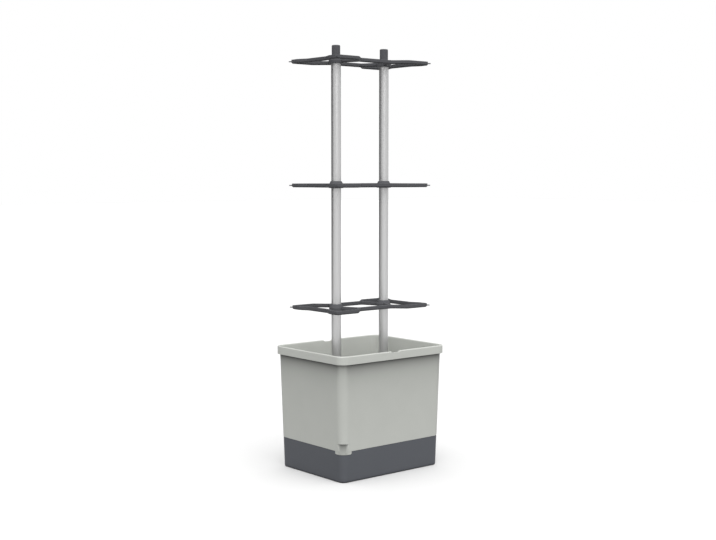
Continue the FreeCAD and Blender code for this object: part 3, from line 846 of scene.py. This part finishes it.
def shade_hollows(tree, sizes):
    """Darken the outside of the pot in the crease under its rim and in the scoop under the ledge."""
    place = tree.nodes.new("ShaderNodeTexCoord").outputs["Object"]
    normal = tree.nodes.new("ShaderNodeNewGeometry").outputs["True Normal"]
    outside = link_math(tree, "GREATER_THAN", link_dot(tree, place, normal), 0)
    corner = link_math(tree, "MULTIPLY", outside, link_corner(tree, place, normal, sizes))
    eased = link_math(tree, "SUBTRACT", outside, link_math(tree, "MULTIPLY", corner, RIM_EASE))
    rim_bottom = POT_TOP - sizes.rim_height
    for ledge, where, shades in ((rim_bottom, eased, RIM_SHADES), (rim_bottom, corner, CORNER_SHADES),
                                 (SEAM + sizes.scoop_height, corner, SCOOP_SHADES)):
        height = link_math(tree, "SUBTRACT", link_dot(tree, place, UPWARDS), ledge)
        below = link_math(tree, "MULTIPLY", where, link_math(tree, "LESS_THAN", height, 0))
        for shade in shades:
            link_darker(tree, link_math(tree, "MULTIPLY", below, link_fade(tree, height, shade)))


# Wicking cups

class SEEDLINGPOT_OT_wicking_cups(bpy.types.Operator):
    """Build the slotted cups that carry water up into the soil"""

    bl_idname = "seedlingpot.wicking_cups"
    bl_label = "Wicking cups"

    def execute(self, context):
        colour = [part * CUP_LIGHTER for part in context.scene.pot_colours.reservoir]
        material = moulded_plastic("moulded_cup_grey", colour, roughness=0.55, gloss=0.12)
        for side in CUP_SIDES:
            node = f"wicking_cup_{side}"
            low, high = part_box(node)
            piece = to_object(f"slotted_cup_{side}", wicking_cup(low, high))
            slots = [cup_slot((low + high) / 2, low.z + 2 * CUP_WALL, turn)
                     for turn in range(CUP_SLOTS // 2)]
            combine(piece, slots, "DIFFERENCE")
            dress(piece, material, f"{side}_cup", [node])
        return {"FINISHED"}


def wicking_cup(low, high):
    """Tapered cup that hangs from its flange."""
    middle = (low + high) / 2
    flange = (high.x - low.x) / 2
    seat = high.z - CUP_WALL
    bm, loops = turned(middle.x, middle.y, [
        (CUP_FOOT_RADIUS, low.z), (CUP_RADIUS, seat), (flange, seat), (flange, high.z),
        (CUP_RADIUS - CUP_WALL, high.z), (CUP_FOOT_RADIUS - CUP_WALL, low.z + CUP_WALL)])
    foot, _neck, _under, brim, mouth, _floor = loops
    bevel(bm, foot + brim + mouth, CUP_EDGE, FINE_STEPS)
    return bm


def cup_slot(middle, bottom, turn):
    """Two water slots that face each other across a cup."""
    reach = CUP_RADIUS + CUP_WALL
    bm = block((-reach, -SLOT_WIDTH / 2, bottom), (reach, SLOT_WIDTH / 2, bottom + SLOT_HEIGHT))
    angle = turn * 2 * math.pi / CUP_SLOTS
    bmesh.ops.rotate(bm, cent=(0, 0, 0), matrix=Matrix.Rotation(angle, 3, "Z"), verts=bm.verts)
    bmesh.ops.translate(bm, vec=(middle.x, middle.y, 0), verts=bm.verts)
    return bm


# Tubes

class SEEDLINGPOT_OT_tubes(bpy.types.Operator):
    """Build the six tubes of the climbing tower"""

    bl_idname = "seedlingpot.tubes"
    bl_label = "Tubes"

    def execute(self, context):
        wall = context.scene.tower_sizes.tube_wall
        material = drawn_metal("satin_aluminium", context.scene.pot_colours.tube, roughness=0.33)
        for storey in STOREYS:
            for hand in HANDS:
                node = f"{storey}_tube_{hand}"
                piece = to_object(f"{storey}_upright_{hand}", tower_tube(*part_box(node), wall))
                dress(piece, material, f"{storey}_tubes", [node])
        return {"FINISHED"}


def tower_tube(low, high, wall):
    """Round tube with softened ends."""
    middle = (low + high) / 2
    bm, loops = turned(middle.x, middle.y, [
        (TUBE_RADIUS, low.z), (TUBE_RADIUS, high.z),
        (TUBE_RADIUS - wall, high.z), (TUBE_RADIUS - wall, low.z)], "JOINED")
    bevel(bm, [edge for loop in loops for edge in loop], TUBE_EDGE, FINE_STEPS)
    return bm


# Climbing rings

class SEEDLINGPOT_OT_rings(bpy.types.Operator):
    """Build the three climbing rings with their hubs, arms and twine nubs"""

    bl_idname = "seedlingpot.rings"
    bl_label = "Climbing rings"

    def execute(self, context):
        tower = context.scene.tower_sizes
        material = moulded_plastic("moulded_charcoal", context.scene.pot_colours.ring,
                                   roughness=0.5, gloss=0.06)
        pattern = to_object("ring_pattern", ring_bar(tower))
        solids = []
        bores = []
        for side in (-1, 1):
            solids += [ring_arm(tower, side, hand) for hand in (-1, 1)]
            solids += [twine_nub(tower, side, hand) for hand in (-1, 1)]
            solids.append(ring_hub(tower, side * TUBE_X))
            bores += hub_bores(tower, side * TUBE_X)
        combine(pattern, solids, "UNION")
        combine(pattern, bores, "DIFFERENCE")
        for storey in STOREYS:
            node = f"{storey}_frame"
            mesh = pattern.data.copy()
            mesh.name = f"{storey}_climbing_ring"
            mesh.transform(Matrix.Translation(UPWARDS * (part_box(node)[0].z + COLLAR_BELOW)))
            piece = add_object(mesh.name, mesh)
            dress(piece, material, f"{storey}_ring", [node])
        bpy.data.meshes.remove(pattern.data)
        return {"FINISHED"}


def ring_bar(tower):
    """Waisted ring, drawn as its middle line, widened to a band and drawn up to a bar."""
    bm = bmesh.new()
    line = ring_line(bm, -tower.bar_height / 2)
    widened = bmesh.ops.inset_region(bm, faces=[line], use_boundary=True, use_even_offset=True,
                                     thickness=-tower.bar_width / 2)["faces"]
    bmesh.ops.delete(bm, geom=widened, context="FACES")
    band = bmesh.ops.inset_region(bm, faces=[line], use_boundary=True, use_even_offset=True,
                                  thickness=tower.bar_width)["faces"]
    bmesh.ops.delete(bm, geom=[line], context="FACES_ONLY")
    draw_out(bm, band, UPWARDS * tower.bar_height)
    soften_bar(bm, tower, tower.bar_height)
    return bm


def ring_line(bm, height):
    """Level face inside the ring's middle line, with the bends of its corners."""
    quarters = []
    for side_x, side_y, step in ((1, 1, 1), (1, -1, -1), (-1, -1, 1), (-1, 1, -1)):
        quarters += [(side_x * x, side_y * y, bend) for x, y, bend in RING_QUARTER[::step]]
    corners = [bm.verts.new((x, y, height)) for x, y, bend in quarters]
    bends = [bend for x, y, bend in quarters]
    bm.faces.new(corners)
    turns = {}
    for index, vert in enumerate(corners):
        into = vert.co - corners[index - 1].co
        out = corners[(index + 1) % len(corners)].co - vert.co
        run = round(bends[index] * math.tan(into.angle(out) / 2), SAME_DIGITS)
        turns.setdefault(run, []).append(vert)
    for run, verts in turns.items():
        bevel(bm, verts, run, BEND_STEPS, "VERTICES")
    return next(iter(bm.faces))


def soften_bar(bm, tower, height):
    """Chamfer a bar's lower edges and round its upper ones."""
    for level, width, steps in ((-height / 2, tower.bar_chamfer, CHAMFER_STEPS),
                                (height / 2, tower.bar_edge, FINE_STEPS)):
        rim = [edge for edge in level_edges(bm, level)
               if edge.is_manifold and edge.calc_face_angle() > CREASE_ANGLE]
        bevel(bm, rim, width, steps)


def ring_arm(tower, side, hand):
    """Arm from a hub to the bend of the long waist."""
    waist_x, waist_y, _bend = RING_WAIST
    height = tower.bar_height - 2 * ARM_STEP
    half = Vector((tower.arm_width / 2, 0, 0))
    hub = Vector((side * TUBE_X, 0, -height / 2))
    end = Vector((side * waist_x, hand * waist_y, -height / 2))
    start = hub + (end - hub).normalized() * TUBE_RADIUS * ARM_START
    bm = prism([start - half, start + half, end + half, end - half], UPWARDS * height)
    soften_bar(bm, tower, height)
    return bm


def twine_nub(tower, side, hand):
    """Small pointed nub on the ring's corner, to hold twine."""
    corner_x, corner_y, bend = RING_CORNER
    outwards = Vector((side, hand, 0)).normalized()
    across = Vector((-outwards.y, outwards.x, 0)) * NUB_WIDTH / 2
    middle = Vector((side * (corner_x - bend), hand * (corner_y - bend), -NUB_THICKNESS / 2))
    root = middle + outwards * bend
    tip = middle + outwards * (bend + tower.bar_width / 2 + NUB_LENGTH)
    return prism([root - across, root + across, tip], UPWARDS * NUB_THICKNESS)


def spigot_radius(tower):
    """Radius of the spigot that fits in the next tube."""
    return TUBE_RADIUS - tower.tube_wall - tower.tube_fit


def ring_hub(tower, x):
    """Collar over the tube's end, with the spigot that takes the next tube."""
    radius = spigot_radius(tower)
    bm, loops = turned(x, 0, [
        (COLLAR_RADIUS, -COLLAR_BELOW), (COLLAR_RADIUS, COLLAR_SHOULDER),
        (COLLAR_TOP_RADIUS, COLLAR_ABOVE), (radius, COLLAR_ABOVE),
        (radius, COLLAR_ABOVE + SPIGOT_LENGTH)])
    foot, shoulder, cone_top, _root, tip = loops
    bevel(bm, foot + shoulder, tower.bar_edge, FINE_STEPS)
    bevel(bm, cone_top, tower.collar_round, EDGE_STEPS)
    bevel(bm, tip, tower.spigot_round, EDGE_STEPS)
    return bm


def hub_bores(tower, x):
    """Socket for the tube below, and the hollow of the spigot."""
    hollow = spigot_radius(tower) - SPIGOT_HOLLOW_WALL
    low = -COLLAR_BELOW - tower.bar_height
    return [cylinder(x, 0, TUBE_RADIUS + tower.tube_fit, low, -COLLAR_BELOW + SOCKET_DEPTH),
            cylinder(x, 0, hollow, low, COLLAR_ABOVE + SPIGOT_LENGTH - SPIGOT_HOLLOW_WALL)]


# Studio

class SEEDLINGPOT_OT_stage(bpy.types.Operator):
    """Build the pale floor, the soft studio light and the camera"""

    bl_idname = "seedlingpot.stage"
    bl_label = "Stage"

    def execute(self, context):
        stage = context.scene.stage_settings
        context.scene.view_settings.view_transform = "Standard"
        context.scene.world = studio_world(stage.sky_strength)
        floor = studio_floor(context.scene.pot_colours.floor)
        gloss_card()
        studio_lamp("soft_key", stage.key_strength, KEY_ANGLE, KEY_BEARING, KEY_HEIGHT)
        fill = studio_lamp("soft_fill", stage.fill_strength, FILL_ANGLE, FILL_BEARING, FILL_HEIGHT)
        fill.visible_glossy = False
        studio_lamp("soft_top", stage.top_strength, TOP_ANGLE, 0, TOP_HEIGHT)
        context.scene.camera = photo_camera(stage)
        return {"FINISHED"}


def photo_camera(stage):
    """Camera as the photograph was taken."""
    lens = bpy.data.cameras.new("photo_camera")
    lens.sensor_fit = "HORIZONTAL"
    lens.sensor_width = SENSOR_WIDTH
    lens.lens = stage.lens
    camera = add_object("photo_camera", lens)
    camera.location = stage.camera_place
    camera.rotation_euler = Euler((math.pi / 2 - stage.camera_pitch, 0,
                                   stage.camera_bearing - math.pi / 2))
    return camera


def studio_lamp(name, strength, angle, bearing, height):
    """Wide far lamp that shines from a bearing and a height."""
    lamp = bpy.data.lights.new(name, "SUN")
    lamp.energy = strength
    lamp.angle = angle
    piece = add_object(name, lamp)
    piece.rotation_euler = Euler((math.pi / 2 - height, 0, bearing + math.pi / 2))
    return piece


def gloss_card():
    """Dark card behind the object that only shows in a gloss and draws the edges of the tubes."""
    bm = bmesh.new()
    made = bmesh.ops.create_grid(bm, x_segments=1, y_segments=1, size=1)["verts"]
    bmesh.ops.scale(bm, vec=(CARD_HALF_WIDTH, CARD_HALF_HEIGHT, 1), verts=made)
    turn = Euler((math.pi / 2, 0, CARD_BEARING + math.pi / 2)).to_matrix()
    bmesh.ops.rotate(bm, cent=(0, 0, 0), matrix=turn, verts=made)
    away = Vector((math.cos(CARD_BEARING), math.sin(CARD_BEARING), 0)) * CARD_DISTANCE
    bmesh.ops.translate(bm, vec=away + UPWARDS * CARD_HALF_HEIGHT, verts=made)
    card = to_object("gloss_card", bm)
    material, tree = node_material("black_card")
    shader = tree.nodes["Principled BSDF"]
    shader.inputs["Base Color"].default_value = even_grey(CARD_GREY)
    shader.inputs["Roughness"].default_value = CARD_ROUGHNESS
    card.data.materials.append(material)
    card.visible_camera = False
    card.visible_diffuse = False
    card.visible_shadow = False
    card.visible_transmission = False
    return card


def link_choice(tree, output, plain, shown):
    """Show one shader where it is seen by the camera, in a gloss or through glass, else the plain one."""
    path = tree.nodes.new("ShaderNodeLightPath")
    seen = path.outputs["Is Camera Ray"]
    for name in ("Is Glossy Ray", "Is Transmission Ray"):
        seen = link_math(tree, "MAXIMUM", seen, path.outputs[name])
    choice = tree.nodes.new("ShaderNodeMixShader")
    tree.links.new(seen, choice.inputs["Fac"])
    tree.links.new(plain, choice.inputs[1])
    tree.links.new(shown, choice.inputs[2])
    tree.links.new(choice.outputs["Shader"], tree.nodes.new(output).inputs["Surface"])


def studio_floor(colour):
    """Pale floor that stays white where it is seen and keeps the object's shadow."""
    bm = bmesh.new()
    bmesh.ops.create_grid(bm, x_segments=1, y_segments=1, size=FLOOR_HALF)
    floor = to_object("studio_floor", bm)
    material, tree = node_material("pale_floor")
    tree.nodes.clear()
    shade = tree.nodes.new("ShaderNodeBsdfDiffuse")
    shade.inputs["Color"].default_value = list(colour) + [1]
    glow = tree.nodes.new("ShaderNodeEmission")
    glow.inputs["Strength"].default_value = FLOOR_GLOW
    shown = tree.nodes.new("ShaderNodeAddShader")
    tree.links.new(shade.outputs["BSDF"], shown.inputs[0])
    tree.links.new(glow.outputs["Emission"], shown.inputs[1])
    bounce = tree.nodes.new("ShaderNodeBsdfDiffuse")
    bounce.inputs["Color"].default_value = even_grey(FLOOR_BOUNCE)
    link_choice(tree, "ShaderNodeOutputMaterial", bounce.outputs["BSDF"], shown.outputs["Shader"])
    floor.data.materials.append(material)
    return floor


def studio_world(strength):
    """Even dome of light that is plain white where it is seen."""
    world = bpy.data.worlds.new("studio_dome")
    world.use_nodes = True
    tree = world.node_tree
    tree.nodes.clear()
    dome = tree.nodes.new("ShaderNodeBackground")
    dome.inputs["Color"].default_value = even_grey(1)
    dome.inputs["Strength"].default_value = strength
    white = tree.nodes.new("ShaderNodeBackground")
    white.inputs["Color"].default_value = even_grey(1)
    link_choice(tree, "ShaderNodeOutputWorld", dome.outputs["Background"], white.outputs["Background"])
    return world


# Panel and registration

OPERATORS = (SEEDLINGPOT_OT_reservoir, SEEDLINGPOT_OT_planter, SEEDLINGPOT_OT_wicking_cups,
             SEEDLINGPOT_OT_tubes, SEEDLINGPOT_OT_rings, SEEDLINGPOT_OT_stage)
GROUPS = {"pot_sizes": PotSizes, "tower_sizes": TowerSizes, "pot_colours": PotColours,
          "stage_settings": StageSettings}


class SEEDLINGPOT_PT_panel(bpy.types.Panel):
    """Lists the pieces of the seedling pot and their sizes"""

    bl_label = "Seedling Pot"
    bl_idname = "SEEDLINGPOT_PT_panel"
    bl_space_type = "VIEW_3D"
    bl_region_type = "UI"
    bl_category = "Seedling Pot"

    def draw(self, context):
        column = self.layout.column()
        for operator in OPERATORS:
            column.operator(operator.bl_idname)
        for name, group in GROUPS.items():
            box = self.layout.box()
            for setting in group.__annotations__:
                box.prop(getattr(context.scene, name), setting)


CLASSES = (*GROUPS.values(), *OPERATORS, SEEDLINGPOT_PT_panel)


def register():
    """Register the classes and hang the property groups on the scene."""
    for item in CLASSES:
        bpy.utils.register_class(item)
    for name, group in GROUPS.items():
        setattr(bpy.types.Scene, name, PointerProperty(type=group))


def unregister():
    """Take the property groups and the classes away again."""
    for name in GROUPS:
        delattr(bpy.types.Scene, name)
    for item in reversed(CLASSES):
        bpy.utils.unregister_class(item)


def main():
    """Build everything."""
    register()
    bpy.ops.seedlingpot.reservoir()
    bpy.ops.seedlingpot.planter()
    bpy.ops.seedlingpot.wicking_cups()
    bpy.ops.seedlingpot.tubes()
    bpy.ops.seedlingpot.rings()
    bpy.ops.seedlingpot.stage()


if __name__ == "__main__":
    main()
